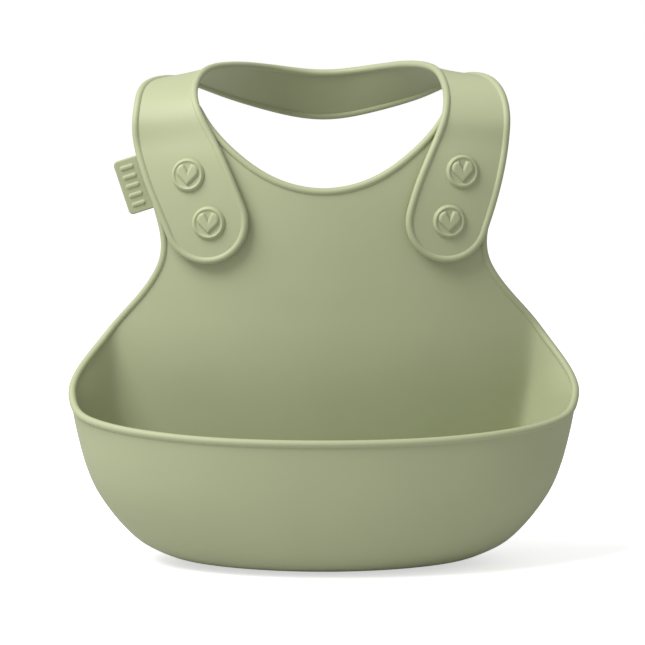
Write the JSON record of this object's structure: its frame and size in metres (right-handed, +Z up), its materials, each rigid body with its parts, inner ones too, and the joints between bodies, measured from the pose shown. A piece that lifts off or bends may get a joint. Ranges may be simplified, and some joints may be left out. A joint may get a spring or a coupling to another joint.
{
  "type": "silicone bib",
  "caption": "Soft baby bib with a curved chest panel, an open food pocket along its foot, and a neckband that buttons in front of the shoulder tabs.",
  "frame": {"origin": "centre of the flat under the pocket", "axes": "+X to the right of someone facing the bib, -Y out of its front, +Z up towards the neckband"},
  "size_m": [0.2168, 0.1512, 0.2099],
  "materials": {
    "body_silicone": "matte",
    "band_silicone": "matte",
    "snap_silicone": "matte",
    "tag_silicone": "matte"
  },
  "bodies": {
    "bib": {"bib_body": "body_silicone", "side_tag": "tag_silicone"},
    "neckband": {"neckband": "band_silicone"},
    "right_strap": {"right_strap": "band_silicone", "right_upper_snap": "snap_silicone", "right_lower_snap": "snap_silicone"},
    "left_strap": {"left_strap": "band_silicone", "left_upper_snap": "snap_silicone", "left_lower_snap": "snap_silicone"}
  },
  "joints": [
    {"name": "neckband_unbutton", "type": "slide", "parent": "bib", "child": "neckband", "axis": [0, -1, 0], "range_m": [0, 0.012]},
    {"name": "right_strap_peel", "type": "hinge", "parent": "neckband", "child": "right_strap", "pos_m": [0.0664, 0.0304, 0.1904], "axis": [-0.9815, -0.0582, 0.1825], "range_deg": [0, 90]},
    {"name": "left_strap_peel", "type": "hinge", "parent": "neckband", "child": "left_strap", "pos_m": [-0.0678, 0.0312, 0.1909], "axis": [-0.9704, 0.0407, -0.2381], "range_deg": [0, 90]}
  ]
}
